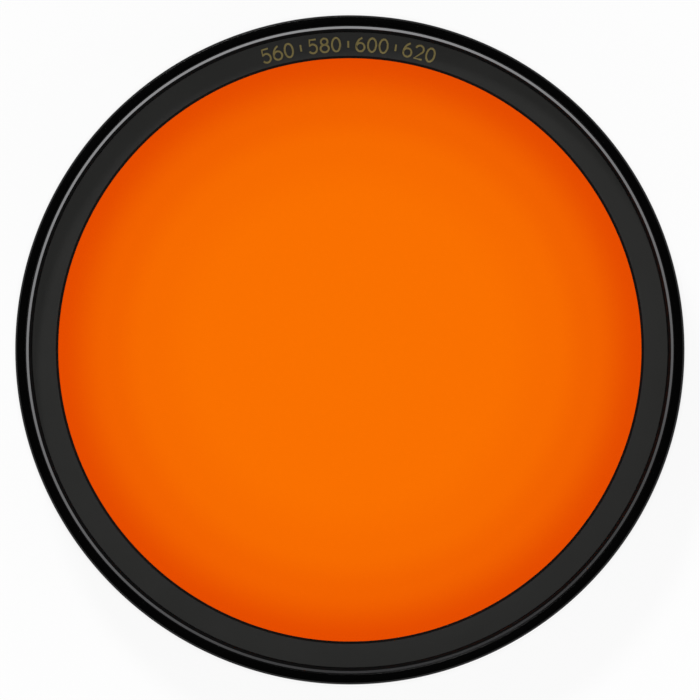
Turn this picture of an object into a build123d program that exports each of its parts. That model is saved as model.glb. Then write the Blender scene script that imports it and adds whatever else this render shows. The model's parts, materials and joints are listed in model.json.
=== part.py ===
from build123d import *

import os
from math import sqrt

# Metric fine filter thread, the same size on the rear (male) and in the front (female)
thread_diameter = 43.0
thread_pitch = 0.75
rear_thread_length = 2.4
rear_thread_chamfer = 0.4
undercut_depth = 0.5
undercut_width = 0.5
shoulder_relief = 0.1
relief_clearance = 0.05

# Flange that stands outside the thread, with a knurled grip between two smooth bands
rim_wall = 0.65
rim_chamfer = 0.12
rear_band_height = 0.9
front_band_height = 1.1
grip_recess = 0.05
flute_depth = 0.2
flute_count = 144

# Depth of the threaded recess in front of the retaining ring
recess_depth = 2.55

# Glass disc and the seat that carries it
glass_thickness = 1.8
glass_bevel = 0.2
glass_clearance = 0.1
seat_height = 2.2
seat_width = 0.45
rear_bore_chamfer = 0.15

# Retaining ring in its own finer thread, one step inside the filter thread
ring_thread_step = 0.5
ring_thread_pitch = 0.5
ring_thread_clearance = 0.03
ledge_width = 0.43
ledge_drop = 0.3
ring_overlap = 0.85
barrel_height = 0.8
barrel_chamfer = 0.15
head_height = 0.45
head_gap = 0.15
head_clearance = 0.02
head_edge_chamfer = 0.05
aperture_chamfer = 0.18


def crest_radius(major_diameter, pitch):
    """Radius of the crests of a female ISO metric thread."""
    return major_diameter / 2 - 5 * sqrt(3) / 16 * pitch


# Radii, from the rim inwards
thread_radius = thread_diameter / 2
rim_radius = thread_radius + rim_wall
grip_radius = rim_radius - grip_recess
undercut_radius = thread_radius - undercut_depth
relief_radius = thread_radius + relief_clearance
front_crest_radius = crest_radius(thread_diameter, thread_pitch)
mouth_chamfer = thread_radius - front_crest_radius
head_radius = front_crest_radius - head_clearance
ring_crest_radius = crest_radius(thread_diameter - 2 * ring_thread_step, ring_thread_pitch)
barrel_radius = ring_crest_radius - ring_thread_clearance
pocket_radius = ring_crest_radius - ledge_width
glass_radius = pocket_radius - glass_clearance
rear_bore_radius = glass_radius - seat_width
aperture_radius = glass_radius - ring_overlap

# Heights above the rear end of the thread
glass_top = seat_height + glass_thickness
ledge_height = glass_top - ledge_drop
head_bottom = glass_top + barrel_height
ring_top = head_bottom + head_height
ring_shoulder = head_bottom - head_gap
overall_height = ring_top + recess_depth
flange_bottom = rear_thread_length
grip_bottom = flange_bottom + rear_band_height
grip_height = overall_height - front_band_height - grip_bottom

# Mount ring: one turned piece, with the thread grooves left plain at their crest diameters
with BuildPart() as mount_ring:
    with BuildSketch(Plane.XZ):
        with BuildLine():
            Polyline(
                (rear_bore_radius, 0),
                (thread_radius, 0),
                (thread_radius, flange_bottom - undercut_width),
                (undercut_radius, flange_bottom - undercut_width),
                (undercut_radius, flange_bottom + shoulder_relief),
                (relief_radius, flange_bottom + shoulder_relief),
                (relief_radius, flange_bottom),
                (rim_radius, flange_bottom),
                (rim_radius, overall_height),
                (front_crest_radius, overall_height),
                (front_crest_radius, ring_top),
                (relief_radius, ring_top),
                (relief_radius, ring_shoulder),
                (ring_crest_radius, ring_shoulder),
                (ring_crest_radius, ledge_height),
                (pocket_radius, ledge_height),
                (pocket_radius, seat_height),
                (rear_bore_radius, seat_height),
                close=True,
            )
        make_face()
    revolve(axis=Axis.Z)

    circles = mount_ring.edges().filter_by(GeomType.CIRCLE)
    rear_edges = circles.group_by(Axis.Z)[0].sort_by(SortBy.RADIUS)
    front_edges = circles.group_by(Axis.Z)[-1].sort_by(SortBy.RADIUS)
    flange_edges = circles.filter_by_position(Axis.Z, flange_bottom, flange_bottom).sort_by(SortBy.RADIUS)
    chamfer(rear_edges[0], rear_bore_chamfer)
    chamfer(rear_edges[-1], rear_thread_chamfer)
    chamfer(front_edges[0], mouth_chamfer)
    chamfer([front_edges[-1], flange_edges[-1]], rim_chamfer)

    # Straight knurl: a shallow band with one 90 degree groove at each flute
    with BuildSketch(Plane.XY.offset(grip_bottom)):
        Circle(rim_radius + rim_wall)
        Circle(grip_radius, mode=Mode.SUBTRACT)
        with PolarLocations(grip_radius, flute_count):
            Rectangle(flute_depth * sqrt(2), flute_depth * sqrt(2), rotation=45)
    extrude(amount=grip_height, mode=Mode.SUBTRACT)
mount_ring.part.label = "mount_ring"

# Filter glass: a flat disc with ground bevels, resting on the seat
with BuildPart() as filter_glass:
    with BuildSketch(Plane.XY.offset(seat_height)):
        Circle(glass_radius)
    extrude(amount=glass_thickness)
    chamfer(filter_glass.edges().filter_by(GeomType.CIRCLE), glass_bevel)
filter_glass.part.label = "filter_glass"

# Retaining ring: a threaded barrel that presses on the glass, under a head that fills the recess
with BuildPart() as retaining_ring:
    with BuildSketch(Plane.XZ):
        with BuildLine():
            Polyline(
                (aperture_radius, glass_top),
                (barrel_radius, glass_top),
                (barrel_radius, head_bottom),
                (head_radius, head_bottom),
                (head_radius, ring_top),
                (aperture_radius, ring_top),
                close=True,
            )
        make_face()
    revolve(axis=Axis.Z)

    ring_circles = retaining_ring.edges().filter_by(GeomType.CIRCLE)
    barrel_edges = ring_circles.group_by(Axis.Z)[0].sort_by(SortBy.RADIUS)
    head_edges = ring_circles.group_by(Axis.Z)[-1].sort_by(SortBy.RADIUS)
    chamfer(barrel_edges[-1], barrel_chamfer)
    chamfer(head_edges[0], aperture_chamfer)
    chamfer(head_edges[-1], head_edge_chamfer)
retaining_ring.part.label = "retaining_ring"

os.makedirs("parts", exist_ok=True)
export_step(mount_ring.part, "parts/mount_ring.step")
export_step(filter_glass.part, "parts/filter_glass.step")
export_step(retaining_ring.part, "parts/retaining_ring.step")
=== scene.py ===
import json
from math import ceil, cos, floor, pi, radians, sin, sqrt, tan

import bmesh
import bpy
import numpy as np
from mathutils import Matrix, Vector


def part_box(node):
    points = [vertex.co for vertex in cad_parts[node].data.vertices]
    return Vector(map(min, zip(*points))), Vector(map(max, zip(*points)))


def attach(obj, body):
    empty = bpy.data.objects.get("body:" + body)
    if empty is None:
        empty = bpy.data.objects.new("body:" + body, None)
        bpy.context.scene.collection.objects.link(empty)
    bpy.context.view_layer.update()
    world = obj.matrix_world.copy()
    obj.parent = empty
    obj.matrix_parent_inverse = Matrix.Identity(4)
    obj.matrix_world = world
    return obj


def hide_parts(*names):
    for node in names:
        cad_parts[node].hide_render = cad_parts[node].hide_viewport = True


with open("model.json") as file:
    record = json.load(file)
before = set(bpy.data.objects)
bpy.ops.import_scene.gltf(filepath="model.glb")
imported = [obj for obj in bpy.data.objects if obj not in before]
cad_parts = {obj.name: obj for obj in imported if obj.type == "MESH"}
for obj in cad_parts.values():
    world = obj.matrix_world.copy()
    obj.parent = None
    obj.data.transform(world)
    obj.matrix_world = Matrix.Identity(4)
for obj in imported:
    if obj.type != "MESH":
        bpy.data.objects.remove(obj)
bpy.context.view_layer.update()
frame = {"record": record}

mm = 0.001

# Sizes that the pieces share, in millimetres, read from the frame where it has them
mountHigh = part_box("mount_ring")[1] / mm
ringLow, ringHigh = [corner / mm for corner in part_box("retaining_ring")]
glassLow, glassHigh = [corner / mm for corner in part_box("filter_glass")]
mounts = {mount["name"]: mount for mount in frame["record"]["mounts"]}

sizes = {
    "threadRadius": mounts["rear_thread"]["dims"]["r_mm"],  # crests of the rear thread
    "frontCrestRadius": mounts["front_thread"]["dims"]["r_mm"],  # crests of the front thread
    "threadPitch": 0.75,
    "shoulderHeight": mounts["rear_shoulder"]["pos_m"][2] / mm,
    "ringThreadRadius": 21.0,  # major radius of the retaining ring's own thread
    "ringThreadPitch": 0.5,
    "ringThreadClearance": 0.03,
    "ledgeDrop": 0.3,  # from the top of the glass to the lower end of the ring's thread in the mount
    "headHeight": 0.45,  # of the retaining ring
    "apertureRadius": 19.35,
}

# Depth of a metric thread as a share of its pitch
femaleDepth = 5 * sqrt(3) / 16
maleDepth = 0.6134

ledgeHeight = glassHigh.z - sizes["ledgeDrop"]
ringCrestRadius = sizes["ringThreadRadius"] - femaleDepth * sizes["ringThreadPitch"]


# Colours are written as 0 to 255 and used as linear light
def linear(red, green, blue):
    def channel(c):
        c /= 255
        return c / 12.92 if c <= 0.04045 else ((c + 0.055) / 1.055) ** 2.4
    return (channel(red), channel(green), channel(blue), 1)


# Turned meshes: a grid of rows (radius and height at every angle) closed round the axis

def evenAngles(count):
    return np.linspace(0, 2 * pi, count + 1)


def row(angles, radius, height):
    return np.stack([np.broadcast_to(radius, angles.shape), np.broadcast_to(height, angles.shape)], axis=1)


roundSteps = (0, 0.33, 0.67, 1)  # the rows along the small round of a corner


# Plain rows through corner points (radius, height), each corner eased by a small round
def easedRows(angles, corners, ease=0.02):
    rows = []
    for i, corner in enumerate(corners):
        p = np.array(corner, float)
        if i in (0, len(corners) - 1):
            rows.append(row(angles, *p))
            continue
        before, after = np.array(corners[i - 1], float) - p, np.array(corners[i + 1], float) - p
        cut = min(ease, np.linalg.norm(before) / 3, np.linalg.norm(after) / 3)
        a, b = p + before / np.linalg.norm(before) * cut, p + after / np.linalg.norm(after) * cut
        for t in roundSteps:
            point = (1 - t) ** 2 * a + 2 * t * (1 - t) * p + t ** 2 * b
            rows.append(row(angles, *point))
    return rows


# One turn of a thread as pairs of phase and depth, from the middle of a crest (depth 0) through the
# root (depth 1) to the middle of the next crest
def threadForm(crestFlat, rootFlat, ease=0.02):
    crest, flank = crestFlat / 2, (1 - crestFlat - rootFlat) / 2
    lift = ease / flank
    side = [(crest - ease, 0), (crest + ease, lift), (crest + flank / 2, 0.5)]
    side += [(crest + flank - ease, 1 - lift), (crest + flank + ease, 1)]
    return side + [(1 - phase, depth) for phase, depth in reversed(side)]


# Metric flats at the crest and the root, as shares of the pitch
maleForm = threadForm(1 / 8, 1 / 4)
femaleForm = threadForm(1 / 4, 1 / 8)


# Rows that climb with the thread between two heights, so that its crests and roots stay crisp.
# lowest and highest hold the radius inside a lead-in or run-out, by height.
def threadRows(angles, bottom, top, thread, lowest, highest):
    phases, depths = np.array(thread["form"]).T
    start, pitch = thread["start"], thread["pitch"]
    turns = range(floor((bottom - start) / pitch) - 2, ceil((top - start) / pitch) + 1)
    rows = []
    for phase in [turn + p for turn in turns for p in phases]:
        height = np.clip(start + pitch * (phase + angles / (2 * pi)), bottom, top)
        depth = np.interp((height - start) / pitch - angles / (2 * pi), phases, depths, period=1)
        radius = thread["crest"] + (thread["root"] - thread["crest"]) * depth
        rows.append(row(angles, np.clip(radius, lowest(height), highest(height)), height))
    return rows


weldDistance = 1e-6  # metres
sliverLength = 1e-7
sharpAngle = radians(32)


# A mesh of the rows, where finishOf holds the finish of the band from each row to the next
def turnedObject(name, angles, rows, finishOf, closed=True):
    grid = np.array(rows)
    count, columns = grid.shape[:2]
    radius, height = grid[..., 0] * mm, grid[..., 1] * mm
    points = np.stack([radius * np.cos(angles), radius * np.sin(angles), height], axis=2).reshape(-1, 3)
    faces, finishes = [], []
    for i in range(count if closed else count - 1):
        j = (i + 1) % count
        for k in range(columns - 1):
            faces.append((i * columns + k, i * columns + k + 1, j * columns + k + 1, j * columns + k))
            finishes.append(finishOf[i])
    mesh = bpy.data.meshes.new(name)
    mesh.from_pydata(points.tolist(), [], faces)
    mesh.polygons.foreach_set("material_index", finishes)
    bm = bmesh.new()
    bm.from_mesh(mesh)
    bmesh.ops.remove_doubles(bm, verts=bm.verts, dist=weldDistance)
    bmesh.ops.dissolve_degenerate(bm, edges=bm.edges, dist=sliverLength)
    bmesh.ops.recalc_face_normals(bm, faces=bm.faces)
    for face in bm.faces:
        face.smooth = True
    for edge in bm.edges:  # crisp where the form turns sharply, and where two finishes meet
        sides = {face.material_index for face in edge.link_faces}
        edge.smooth = edge.calc_face_angle(pi) < sharpAngle and len(sides) == 1
    bm.to_mesh(mesh)
    bm.free()
    obj = bpy.data.objects.new(name, mesh)
    bpy.context.scene.collection.objects.link(obj)
    weighted = obj.modifiers.new("flatFacesStayFlat", "WEIGHTED_NORMAL")
    weighted.keep_sharp = True
    return obj


def rideOnFrame(obj, slotName, *nodes):
    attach(obj, "root")
    if nodes:
        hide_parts(*nodes)


# Shader helpers

def newMaterial(name):
    material = bpy.data.materials.new(name)
    material.use_nodes = True
    return material, material.node_tree, material.node_tree.nodes["Principled BSDF"]


def newGroup(name, inputs, outputs):
    group = bpy.data.node_groups.new(name, "ShaderNodeTree")
    for label, kind in inputs.items():
        group.interface.new_socket(label, in_out="INPUT", socket_type="NodeSocket" + kind)
    for label, kind in outputs.items():
        group.interface.new_socket(label, in_out="OUTPUT", socket_type="NodeSocket" + kind)
    return group, group.nodes.new("NodeGroupInput").outputs, group.nodes.new("NodeGroupOutput")


# A value is a number or colour to set, or the output of another node to link
def setInputs(tree, node, values):
    for label, value in values.items():
        if isinstance(value, bpy.types.NodeSocket):
            tree.links.new(value, node.inputs[label])
        else:
            node.inputs[label].default_value = value
    return node


def mathNode(tree, operation, *values):
    node = tree.nodes.new("ShaderNodeMath")
    node.operation = operation
    return setInputs(tree, node, dict(enumerate(values))).outputs[0]


def mapRange(tree, value, fromMin, fromMax, toMin=0, toMax=1, smooth=False):
    node = tree.nodes.new("ShaderNodeMapRange")
    node.interpolation_type = "SMOOTHSTEP" if smooth else "LINEAR"
    limits = {"From Min": fromMin, "From Max": fromMax, "To Min": toMin, "To Max": toMax}
    return setInputs(tree, node, {"Value": value, **limits}).outputs["Result"]


def mixNode(tree, kind, factor, a, b):
    node = tree.nodes.new("ShaderNodeMix")
    node.data_type = kind
    return setInputs(tree, node, {"Factor": factor, "A": a, "B": b}).outputs["Result"]


def bumpNode(tree, height, distance, beneath=None):
    node = setInputs(tree, tree.nodes.new("ShaderNodeBump"), {"Height": height, "Distance": distance})
    if beneath:
        tree.links.new(beneath, node.inputs["Normal"])
    return node.outputs["Normal"]


def splitNode(tree, vector):
    return setInputs(tree, tree.nodes.new("ShaderNodeSeparateXYZ"), {"Vector": vector}).outputs


def noiseNode(tree, place, scale, detail):
    node = tree.nodes.new("ShaderNodeTexNoise")
    return setInputs(tree, node, {"Vector": place, "Scale": scale, "Detail": detail}).outputs[0]


def objectPlace(tree):
    return tree.nodes.new("ShaderNodeTexCoord").outputs["Object"]


def placeGroup(tree, group, values):
    node = tree.nodes.new("ShaderNodeGroup")
    node.node_tree = group
    return setInputs(tree, node, values).outputs


# Distance from the axis that the whole filter is turned about
def makeAxisDistance():
    group, given, end = newGroup("axisDistance", {"Position": "Vector"}, {"Radius": "Float"})
    split = splitNode(group, given["Position"])
    squareX = mathNode(group, "MULTIPLY", split["X"], split["X"])
    squareY = mathNode(group, "MULTIPLY", split["Y"], split["Y"])
    setInputs(group, end, {"Radius": mathNode(group, "SQRT", mathNode(group, "ADD", squareX, squareY))})
    return group


# Even grain of an etched, ground or painted surface
def makeFineGrain():
    group, given, end = newGroup("fineGrain", {"Position": "Vector", "Size": "Float"}, {"Height": "Float"})
    scale = mathNode(group, "DIVIDE", 1, given["Size"])
    setInputs(group, end, {"Height": noiseNode(group, given["Position"], scale, 1)})
    return group


driftScale = 260  # by the metre, so that a patch of one shade is some 4 mm wide


# Turned metal under an anodised skin: uneven lathe marks round the axis, on flat faces and on walls
# alike, a satin grain, and a colour that drifts slowly between two shades
def makeTurnedSkin():
    inputs = {"Position": "Vector", "Dark": "Color", "Light": "Color"}
    for number in ("Roughness", "Spread", "Line Pitch", "Line Depth", "Grain Size", "Grain Depth"):
        inputs[number] = "Float"
    outputs = {"Color": "Color", "Roughness": "Float", "Normal": "Vector"}
    group, given, end = newGroup("turnedSkin", inputs, outputs)
    place = given["Position"]

    radius = placeGroup(group, axisDistance, {"Position": place})["Radius"]
    along = mathNode(group, "SUBTRACT", radius, splitNode(group, place)["Z"])
    mark = mathNode(group, "DIVIDE", along, given["Line Pitch"])
    marks = group.nodes.new("ShaderNodeTexNoise")
    marks.noise_dimensions = "1D"
    setInputs(group, marks, {"W": mark, "Scale": 1, "Detail": 3})
    lines = marks.outputs[0]
    lift = mathNode(group, "MULTIPLY_ADD", lines, 2, -1)
    turned = bumpNode(group, lines, given["Line Depth"])
    grain = placeGroup(group, fineGrain, {"Position": place, "Size": given["Grain Size"]})["Height"]
    drift = noiseNode(group, place, driftScale, 4)
    setInputs(group, end, {
        "Color": mixNode(group, "RGBA", drift, given["Dark"], given["Light"]),
        "Roughness": mathNode(group, "MULTIPLY_ADD", lift, given["Spread"], given["Roughness"]),
        "Normal": bumpNode(group, grain, given["Grain Depth"], turned),
    })
    return group


axisDistance = makeAxisDistance()
fineGrain = makeFineGrain()
turnedSkin = makeTurnedSkin()


def anodised(name, look):
    material, tree, shader = newMaterial(name)
    skin = placeGroup(tree, turnedSkin, {
        "Position": objectPlace(tree), "Dark": look["dark"], "Light": look["light"],
        "Roughness": look["roughness"], "Spread": look["roughnessSpread"],
        "Line Pitch": look["linePitch"] * mm, "Line Depth": look["lineDepth"] * mm,
        "Grain Size": look["grainSize"] * mm, "Grain Depth": look["grainDepth"] * mm,
    })
    setInputs(tree, shader, {
        "Base Color": skin["Color"], "Roughness": skin["Roughness"], "Normal": skin["Normal"],
        "Metallic": look["metallic"], "Specular IOR Level": look["specular"],
    })
    return material


print("stage: mount ring")
mountRing = {
    "fluteCount": 144,  # straight knurl, one groove every 2.5 degrees
    "fluteDepth": 0.2,
    "gripRecess": 0.05,
    "rearBand": 0.9,
    "frontBand": 1.1,
    "rimChamfer": 0.12,
    "rearChamfer": 0.4,
    "rearLeadIn": 0.5,  # how far the thread's grooves deepen for each mm of height, at its end
    "boreChamfer": 0.15,
    "undercutDepth": 0.5,
    "undercutWidth": 0.5,
    "shoulderRelief": 0.1,
    "reliefClearance": 0.05,
    "mouthEdge": 0.085,  # black strip round the mouth, outside the bare metal
    "brightWidth": 0.153,  # cut through to bare metal at the angle below, and black again inside it
    "brightAngle": radians(30),  # from the ring's face
    "headGap": 0.15,  # under the retaining ring's head
    "rearBoreRadius": 19.75,
    "ledgeWidth": 0.43,
}
blackLook = {
    "dark": linear(0, 0, 0), "light": linear(3, 3, 3), "metallic": 0, "specular": 0.26,
    "roughness": 0.25, "roughnessSpread": 0.05, "linePitch": 0.06, "lineDepth": 0.0012,
    "grainSize": 0.02, "grainDepth": 0.0006,
}
mattLook = {  # the recess and its threads, dull so that they send no stray light on
    "dark": linear(9, 9, 9), "light": linear(15, 15, 15), "metallic": 0, "specular": 0.05,
    "roughness": 0.55, "roughnessSpread": 0.05, "linePitch": 0.06, "lineDepth": 0.001,
    "grainSize": 0.025, "grainDepth": 0.0008,
}
brightLook = {
    "dark": linear(182, 182, 184), "light": linear(196, 196, 198), "metallic": 1, "specular": 0.5,
    "roughness": 0.14, "roughnessSpread": 0.03, "linePitch": 0.03, "lineDepth": 0.0004,
    "grainSize": 0.02, "grainDepth": 0.0002,
}


# Columns at the bottom and the two edges of every knurl groove, and midway between two grooves
def knurlColumns(count, depth, gripRadius):
    step, half = 2 * pi / count, depth / gripRadius
    starts = np.arange(count) * step
    angles = np.stack([starts, starts + half, starts + step / 2, starts + step - half], axis=1).ravel()
    radii = np.tile([gripRadius - depth, gripRadius, gripRadius, gripRadius], count)
    return np.append(angles, 2 * pi), np.append(radii, radii[0])


# The edge of the bore, the rear end and the rear thread
def rearRows(s, angles):
    bore, chamfer = s["rearBoreRadius"], s["boreChamfer"]
    crest, pitch = sizes["threadRadius"], sizes["threadPitch"]
    endRadius, root = crest - s["rearChamfer"], crest - maleDepth * pitch
    thread = {"crest": crest, "root": root, "pitch": pitch, "start": 0, "form": maleForm}
    rows = easedRows(angles, [(bore, chamfer), (bore + chamfer, 0), (endRadius, 0)])
    rows += threadRows(
        angles, 0, sizes["shoulderHeight"] - s["undercutWidth"], thread,
        lambda z: np.maximum(root, endRadius - z * s["rearLeadIn"]),
        lambda z: endRadius + z)
    return rows


# The undercut, and the flange up to the end of its knurl
def flangeRows(s, angles, knurl, relief):
    rim, shoulder, chamfer = mountHigh.x, sizes["shoulderHeight"], s["rimChamfer"]
    undercut, reliefHeight = sizes["threadRadius"] - s["undercutDepth"], shoulder + s["shoulderRelief"]
    gripBottom, gripTop = shoulder + s["rearBand"], mountHigh.z - s["frontBand"]
    rows = easedRows(angles, [
        (undercut, shoulder - s["undercutWidth"]), (undercut, reliefHeight), (relief, reliefHeight),
        (relief, shoulder), (rim - chamfer, shoulder), (rim, shoulder + chamfer), (rim, gripBottom),
    ])
    return rows + [row(angles, knurl, gripBottom), row(angles, knurl, gripTop)]


# The smooth front band and the face, in to where the bare metal starts
def faceRows(s, angles):
    rim, top, chamfer, mouth = mountHigh.x, mountHigh.z, s["rimChamfer"], sizes["threadRadius"]
    return easedRows(angles, [
        (rim, top - s["frontBand"]), (rim, top - chamfer), (rim - chamfer, top), (mouth, top),
        (mouth - s["mouthEdge"], top - s["mouthEdge"] * tan(s["brightAngle"])),
    ])


# The inner end of the bare metal, the front thread, and the groove beside the retaining ring's head
def frontThreadRows(s, angles, relief, grooveBottom):
    top, crest, root = mountHigh.z, sizes["frontCrestRadius"], sizes["threadRadius"]
    brightEnd = root - s["mouthEdge"] - s["brightWidth"]
    brightBottom = top - (root - brightEnd) * tan(s["brightAngle"])
    leadIn = (brightEnd - crest) / (brightBottom - top + root - crest)
    thread = {"crest": crest, "root": root, "pitch": sizes["threadPitch"], "start": ringHigh.z,
              "form": femaleForm}
    rows = threadRows(
        angles, ringHigh.z, brightBottom, thread,
        lambda z: np.maximum(crest, brightEnd + (z - brightBottom) * leadIn),
        lambda z: np.minimum(root, brightEnd + brightBottom - z))
    rows = [row(angles, brightEnd, brightBottom)] + rows[::-1]
    return rows + [row(angles, relief, ringHigh.z), row(angles, relief, grooveBottom)]


# The thread for the retaining ring, and the pocket that the glass lies in
def pocketRows(s, angles, grooveBottom):
    crest, root = ringCrestRadius, sizes["ringThreadRadius"]
    thread = {"crest": crest, "root": root, "pitch": sizes["ringThreadPitch"], "start": ledgeHeight,
              "form": femaleForm}
    rows = threadRows(angles, ledgeHeight, grooveBottom, thread, lambda z: crest, lambda z: root)[::-1]
    pocket, low = crest - s["ledgeWidth"], glassLow.z
    rows += [row(angles, pocket, ledgeHeight), row(angles, pocket, low)]
    return rows + [row(angles, s["rearBoreRadius"], low)]


def makeMountRing(s):
    angles, knurl = knurlColumns(s["fluteCount"], s["fluteDepth"], mountHigh.x - s["gripRecess"])
    relief = sizes["threadRadius"] + s["reliefClearance"]
    grooveBottom = ringHigh.z - sizes["headHeight"] - s["headGap"]
    outside = rearRows(s, angles) + flangeRows(s, angles, knurl, relief) + faceRows(s, angles)
    inside = frontThreadRows(s, angles, relief, grooveBottom) + pocketRows(s, angles, grooveBottom)

    # Black outside, matt inside, and one band of bare metal where they meet
    finishes = [0] * (len(outside) - 1) + [1] + [2] * len(inside)
    obj = turnedObject("mountRing", angles, outside + inside, finishes)
    obj.data.materials.append(anodised("blackAnodised", blackLook))
    obj.data.materials.append(anodised("brightChamfer", brightLook))
    obj.data.materials.append(anodised("mattBlackRecess", mattLook))
    rideOnFrame(obj, "black_anodised", "mount_ring")


makeMountRing(mountRing)

print("stage: retaining ring")
retainingRing = {
    "columns": 480,
    "barrelChamfer": 0.15,
    "headEdge": 0.02,
    "apertureChamfer": 0.15,
}
greyLook = {
    "dark": linear(42, 42, 41), "light": linear(47, 47, 46), "metallic": 0, "specular": 0.12,
    "roughness": 0.5, "roughnessSpread": 0.05, "linePitch": 0.05, "lineDepth": 0.0008,
    "grainSize": 0.025, "grainDepth": 0.0008,
}
# Near-black where the ring's face is grey: painted shade on the chamfer and the wall of the opening, which
# face away from the light
innerShadeLook = {  # the chamfer and the wall of the opening
    "dark": linear(7, 7, 6), "light": linear(11, 10, 9), "metallic": 0, "specular": 0.15,
    "roughness": 0.6, "roughnessSpread": 0.05, "linePitch": 0.05, "lineDepth": 0.001,
    "grainSize": 0.025, "grainDepth": 0.0008,
}


def makeRetainingRing(s):
    bottom, top, headRadius, aperture = ringLow.z, ringHigh.z, ringHigh.x, sizes["apertureRadius"]
    headBottom, pitch = top - sizes["headHeight"], sizes["ringThreadPitch"]
    barrel = ringCrestRadius - sizes["ringThreadClearance"]
    crest = sizes["ringThreadRadius"] - sizes["ringThreadClearance"]
    endRadius = barrel - s["barrelChamfer"]
    angles = evenAngles(s["columns"])
    rows = [row(angles, aperture, bottom)]

    # Half a turn on from the thread in the mount, so that its crests run in the mount's roots
    start = ledgeHeight + pitch / 2
    thread = {"crest": crest, "root": barrel, "pitch": pitch, "start": start, "form": maleForm}
    rows += threadRows(
        angles, bottom, headBottom, thread,
        lambda z: np.minimum(barrel, endRadius + z - bottom),
        lambda z: endRadius + z - bottom)
    rows += easedRows(angles, [
        (headRadius, headBottom), (headRadius, top - s["headEdge"]),
        (headRadius - s["headEdge"], top), (aperture + s["apertureChamfer"], top),
    ])
    # The near-black finish on the chamfer and the wall of the opening is painted shade
    finishes = [0] * (len(rows) - 1) + [1, 1]  # dark on the chamfer and the wall of the opening
    rows.append(row(angles, aperture, top - s["apertureChamfer"]))
    obj = turnedObject("retainingRing", angles, rows, finishes)
    obj.data.materials.append(anodised("greyAnodised", greyLook))
    obj.data.materials.append(anodised("blackInnerEdge", innerShadeLook))
    rideOnFrame(obj, "grey_anodised", "retaining_ring")


makeRetainingRing(retainingRing)

print("stage: glass")
filterGlass = {
    "columns": 240,
    "bevel": 0.2,
    "tint": [  # the light that it lets through, from the middle to the edge of the opening, with painted shade that darkens and reddens it toward the edge, where the ring shades the glass
        (0.0, linear(254, 116, 0)), (0.5, linear(254, 115, 0)), (0.7, linear(251, 110, 0)),
        (0.83, linear(246, 101, 0)), (1.0, linear(233, 78, 0)),
    ],
    "ior": 1.46,
    "reflection": 0.35,  # 0.5 is plain glass, and the coating weakens it
    "reflectionTint": (0.62, 0.8, 1, 1),  # the coating sends back what it doesn't let through
    "edgeDark": linear(24, 14, 8),
    "edgeLight": linear(36, 21, 13),
    "edgeGrain": 0.02,
    "edgeGrainDepth": 0.002,
    "edgeRoughness": 0.75,
}


def coatedGlass(s):
    material, tree, shader = newMaterial("orangeCoatedGlass")
    radius = placeGroup(tree, axisDistance, {"Position": objectPlace(tree)})["Radius"]
    # Colour by distance from the axis, with painted shade toward the edge of the opening
    ramp = tree.nodes.new("ShaderNodeValToRGB")
    ramp.color_ramp.interpolation = "EASE"
    for _ in s["tint"][2:]:
        ramp.color_ramp.elements.new(0.5)
    for element, (position, colour) in zip(ramp.color_ramp.elements, s["tint"]):
        element.position, element.color = position, colour
    setInputs(tree, ramp, {0: mathNode(tree, "DIVIDE", radius, sizes["apertureRadius"] * mm)})
    setInputs(tree, shader, {
        "Base Color": ramp.outputs[0], "Transmission Weight": 1, "Roughness": 0, "IOR": s["ior"],
        "Specular IOR Level": s["reflection"], "Specular Tint": s["reflectionTint"],
    })
    return material


def groundEdge(s):
    material, tree, shader = newMaterial("groundGlassEdge")
    place = {"Position": objectPlace(tree), "Size": s["edgeGrain"] * mm}
    grain = placeGroup(tree, fineGrain, place)["Height"]
    setInputs(tree, shader, {
        "Base Color": mixNode(tree, "RGBA", grain, s["edgeDark"], s["edgeLight"]),
        "Roughness": s["edgeRoughness"],
        "Normal": bumpNode(tree, grain, s["edgeGrainDepth"] * mm),
    })
    return material


def makeGlass(s):
    radius, low, high, bevel = glassHigh.x, glassLow.z, glassHigh.z, s["bevel"]
    angles = evenAngles(s["columns"])
    rows = [row(angles, share * (radius - bevel), low) for share in (0, 0.5, 1)]
    rows += [row(angles, radius, low + bevel), row(angles, radius, high - bevel)]
    rows += [row(angles, share * (radius - bevel), high) for share in (1, 0.5, 0)]
    obj = turnedObject("filterGlass", angles, rows, [0, 0, 1, 1, 1, 0, 0], closed=False)
    obj.data.materials.append(coatedGlass(s))
    obj.data.materials.append(groundEdge(s))
    rideOnFrame(obj, "coated_glass", "filter_glass")


makeGlass(filterGlass)

print("stage: scale marks")
scaleMarks = {
    "text": "560|580|600|620",  # plain numbers, with a tick for each bar
    "baselineRadius": 19.81,  # to the middle of the strokes, as the height is
    "height": 0.9,
    "stroke": 0.13,
    "advance": 0.77,
    "tickAdvance": 0.85,
    "width": 0.68,  # of a digit, as a share of its height
    "relief": 0.008,  # how far the paint stands out of the ring's face
    "middle": radians(90.3),
    "dark": linear(110, 99, 63),
    "light": linear(127, 115, 73),
    "grain": 0.03,
    "roughness": 0.6,
    "specular": 0.2,
}


# An arc of an upright ellipse, as points in a digit's own box, 1 high
def arc(x, y, rx, ry, start, end, count=20):
    turned = np.radians(np.linspace(start, end, count + 1))
    return list(zip(x + rx * np.cos(turned), y + ry * np.sin(turned)))


digitStrokes = {
    "0": [arc(0.5, 0.5, 0.44, 0.5, 90, 450, 36)],
    "2": [arc(0.5, 0.7, 0.43, 0.3, 165, -35) + [(0.06, 0), (0.96, 0)]],
    "5": [[(0.88, 1), (0.2, 1), (0.13, 0.56)] + arc(0.47, 0.33, 0.45, 0.33, 125, -150)],
    "6": [arc(0.5, 0.31, 0.45, 0.31, 90, 450, 32), arc(0.96, 0.31, 0.91, 0.72, 180, 108)],
    "8": [arc(0.5, 0.27, 0.45, 0.27, 90, 450, 32), arc(0.5, 0.77, 0.36, 0.23, 90, 450, 32)],
    "|": [[(0.5, 0.25), (0.5, 0.75)]],
}


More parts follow.
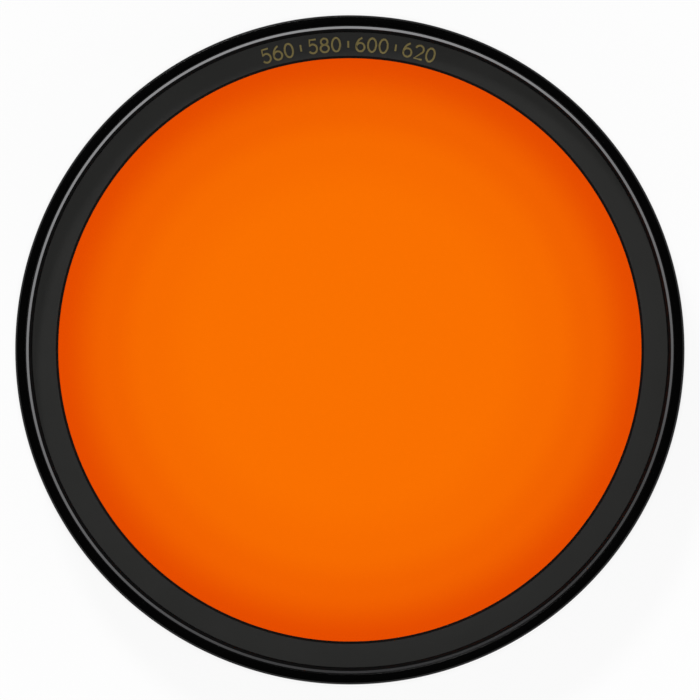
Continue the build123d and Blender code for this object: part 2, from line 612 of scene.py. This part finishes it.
def tanPaint(s):
    material, tree, shader = newMaterial("tanPaint")
    place = {"Position": objectPlace(tree), "Size": s["grain"] * mm}
    grain = placeGroup(tree, fineGrain, place)["Height"]
    setInputs(tree, shader, {
        "Base Color": mixNode(tree, "RGBA", grain, s["dark"], s["light"]),
        "Roughness": s["roughness"], "Specular IOR Level": s["specular"],
    })
    return material


# Round strokes along the arc of the ring
def strokeCurve(s):
    advances = [s["tickAdvance"] if letter == "|" else s["advance"] for letter in s["text"]]
    middleRadius = s["baselineRadius"] + s["height"] / 2
    curve = bpy.data.curves.new("scaleMarksPath", "CURVE")
    curve.dimensions = "3D"
    curve.bevel_depth = s["stroke"] / 2 * mm
    curve.bevel_resolution = 3
    curve.use_fill_caps = True
    along = -sum(advances) / 2
    for letter, advance in zip(s["text"], advances):
        for stroke in digitStrokes[letter]:
            closed = np.allclose(stroke[0], stroke[-1])
            stroke = stroke[:-1] if closed else stroke
            spline = curve.splines.new("POLY")
            spline.points.add(len(stroke) - 1)
            spline.use_cyclic_u = closed
            for point, (x, y) in zip(spline.points, stroke):
                across = along + advance / 2 + (x - 0.5) * s["width"] * s["height"]
                angle = s["middle"] - across / middleRadius
                radius = (s["baselineRadius"] + y * s["height"]) * mm
                point.co = (radius * cos(angle), radius * sin(angle), 0, 1)
        along += advance
    return curve


# The strokes pressed flat, so that they lie like paint on the ring's face
def makeScaleMarks(s):
    curve = strokeCurve(s)
    path = bpy.data.objects.new("scaleMarksPath", curve)
    mesh = bpy.data.meshes.new_from_object(path)
    bpy.data.objects.remove(path)
    bpy.data.curves.remove(curve)
    for vertex in mesh.vertices:
        vertex.co.z = ringHigh.z * mm + vertex.co.z * s["relief"] / (s["stroke"] / 2)
    mesh.shade_smooth()
    mesh.materials.clear()
    mesh.materials.append(tanPaint(s))
    obj = bpy.data.objects.new("scaleMarks", mesh)
    bpy.context.scene.collection.objects.link(obj)
    rideOnFrame(obj, "grey_anodised")


makeScaleMarks(scaleMarks)

print("stage: floor, light and camera")
studio = {
    "floorSize": 6.0,
    "floorGlow": 0.82,  # share of the floor that shows plain white, the rest takes light and shadow
    "floorColour": (0.96, 0.96, 0.96, 1),
    "floorRoughness": 0.9,
    "backdropTop": radians(12),  # elevation up to which a white backdrop stands round the room
    "backdropFade": 1.3,  # and it fades away by this many times as high
    "brightSide": radians(-70),  # compass angle of the bright side of the room
    "roomBright": 0.78,
    "roomDark": 0.01,
    "zenith": 0.01,
    "wallsTo": 0.4,  # sine of the elevation where the walls start to darken
    "darkFrom": 0.75,  # and where the dark overhead is reached
    "topLamp": {"compass": 0, "elevation": 90, "distance": 2.0, "size": 0.2, "watts": 24.5},
    "sideLamps": [
        {"compass": 110, "elevation": 55, "distance": 1.0, "size": 0.18, "watts": 2.3},
        {"compass": -10, "elevation": 50, "distance": 1.0, "size": 0.18, "watts": 0.2},
        {"compass": 230, "elevation": 50, "distance": 1.0, "size": 0.18, "watts": 0.2},
    ],
    "lens": 1000,
    "sensor": 36,
    "nearest": 0.1,  # that the camera sees, and the farthest
    "farthest": 20,
    "pictureWidth": 700,
    "rimRadiusInPicture": 334.7,
    "offsetInPicture": -0.14,  # of the rim's middle from the picture's, right and down
}


# 1 for the kinds of ray that are named, 0 for the others
def rayShare(tree, *names):
    path = tree.nodes.new("ShaderNodeLightPath")
    share = path.outputs[names[0]]
    for name in names[1:]:
        share = mathNode(tree, "MAXIMUM", share, path.outputs[name])
    return share


# All white through glass, and white to the camera and to metal but for the share that takes shadow
def makeFloor(s):
    half = s["floorSize"] / 2
    mesh = bpy.data.meshes.new("floor")
    corners = [(-half, -half, 0), (half, -half, 0), (half, half, 0), (-half, half, 0)]
    mesh.from_pydata(corners, [], [(0, 1, 2, 3)])
    floor = bpy.data.objects.new("floor", mesh)
    bpy.context.scene.collection.objects.link(floor)
    material, tree, shader = newMaterial("paleFloor")
    setInputs(tree, shader, {
        "Base Color": s["floorColour"], "Roughness": s["floorRoughness"], "Specular IOR Level": 0,
    })
    glow = setInputs(tree, tree.nodes.new("ShaderNodeEmission"), {"Color": (1, 1, 1, 1)})
    seen = mathNode(tree, "MULTIPLY", rayShare(tree, "Is Camera Ray", "Is Glossy Ray"), s["floorGlow"])
    share = mathNode(tree, "MAXIMUM", seen, rayShare(tree, "Is Transmission Ray"))
    mix = tree.nodes.new("ShaderNodeMixShader")
    setInputs(tree, mix, {0: share, 1: shader.outputs[0], 2: glow.outputs[0]})
    setInputs(tree, tree.nodes["Material Output"], {"Surface": mix.outputs[0]})
    mesh.materials.append(material)


# A white backdrop all round, and above it a room that is bright on one side and dark overhead
def makeRoom(s):
    world = bpy.data.worlds.new("room")
    bpy.context.scene.world = world
    world.use_nodes = True
    tree = world.node_tree
    direction = tree.nodes.new("ShaderNodeTexCoord").outputs["Generated"]
    height = splitNode(tree, direction)["Z"]
    toSide = tree.nodes.new("ShaderNodeVectorMath")
    toSide.operation = "DOT_PRODUCT"
    setInputs(tree, toSide, {0: direction, 1: (cos(s["brightSide"]), sin(s["brightSide"]), 0)})
    walls = mapRange(tree, toSide.outputs["Value"], -1, 1, s["roomDark"], s["roomBright"])
    overhead = mapRange(tree, height, s["wallsTo"], s["darkFrom"], smooth=True)
    light = mixNode(tree, "FLOAT", overhead, walls, s["zenith"])
    fadedOut = s["backdropTop"] * s["backdropFade"]
    low = mapRange(tree, height, sin(fadedOut), sin(s["backdropTop"]), smooth=True)
    seen = rayShare(tree, "Is Camera Ray", "Is Glossy Ray", "Is Transmission Ray")
    strength = mixNode(tree, "FLOAT", mathNode(tree, "MULTIPLY", low, seen), light, 1)
    setInputs(tree, tree.nodes["Background"], {"Color": (1, 1, 1, 1), "Strength": strength})


def softLamp(name, s):
    lamp = bpy.data.lights.new(name, "AREA")
    lamp.shape, lamp.size, lamp.energy = "DISK", s["size"], s["watts"]
    obj = bpy.data.objects.new(name, lamp)
    bpy.context.scene.collection.objects.link(obj)
    compass, elevation = radians(s["compass"]), radians(s["elevation"])
    toward = Vector((cos(compass) * cos(elevation), sin(compass) * cos(elevation), sin(elevation)))
    obj.location = toward * s["distance"]
    obj.rotation_euler = (-toward).to_track_quat("-Z", "Y").to_euler()
    return obj


def makeLamps(s):
    for i, lamp in enumerate(s["sideLamps"]):
        softLamp(f"sideLamp{i + 1}", lamp)
    top = softLamp("topLamp", s["topLamp"])
    top.visible_glossy = top.visible_transmission = False  # flat light into the recess, with no glare


# Straight down on the rim through a long lens, with the rim as large as in the picture
def makeCamera(s):
    camera = bpy.data.cameras.new("camera")
    camera.lens, camera.sensor_width = s["lens"], s["sensor"]
    camera.clip_start, camera.clip_end = s["nearest"], s["farthest"]
    obj = bpy.data.objects.new("camera", camera)
    bpy.context.scene.collection.objects.link(obj)
    pixel = mountHigh.x * mm / s["rimRadiusInPicture"]
    offset = s["offsetInPicture"] * pixel
    distance = s["pictureWidth"] * pixel * s["lens"] / s["sensor"]
    obj.location = (-offset, offset, mountHigh.z * mm + distance)
    bpy.context.scene.camera = obj


makeFloor(studio)
makeRoom(studio)
makeLamps(studio)
makeCamera(studio)
bpy.context.scene.view_settings.view_transform = "Standard"
